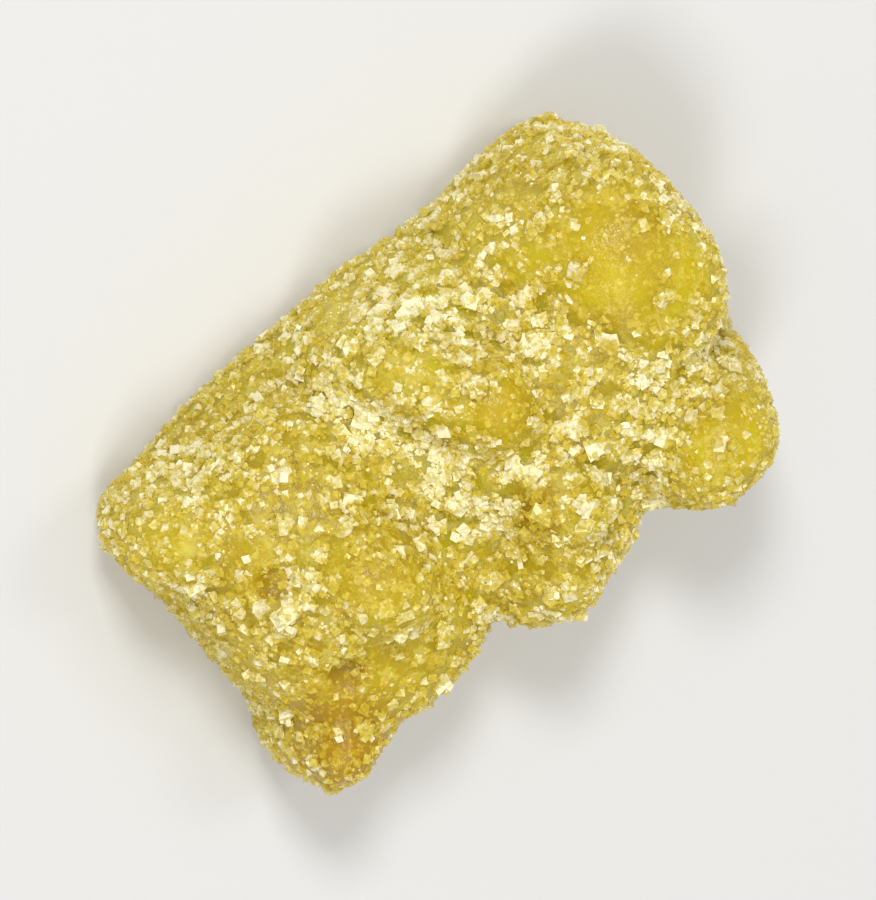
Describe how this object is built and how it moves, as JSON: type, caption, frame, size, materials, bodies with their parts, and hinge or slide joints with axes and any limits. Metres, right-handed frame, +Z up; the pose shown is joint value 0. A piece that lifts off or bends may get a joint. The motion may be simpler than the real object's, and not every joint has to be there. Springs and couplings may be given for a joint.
{
  "type": "sour gummy bear",
  "caption": "Small cast fruit-jelly bear with ears, snout, folded arms and feet, coated in coarse sour sugar, lying on its flat back.",
  "frame": {"origin": "middle of the bounding box at its base, on the flat back that the bear lies on", "axes": "+Z up out of the face, +Y along the body towards the top of the head, +X towards the bear's own left side"},
  "size_m": [0.0136, 0.022, 0.0097],
  "materials": {
    "sugared_jelly": "translucent lemon jelly under a crust of coarse white sugar crystals"
  },
  "bodies": {
    "root": {"gummy_bear": "sugared_jelly"}
  },
  "joints": []
}
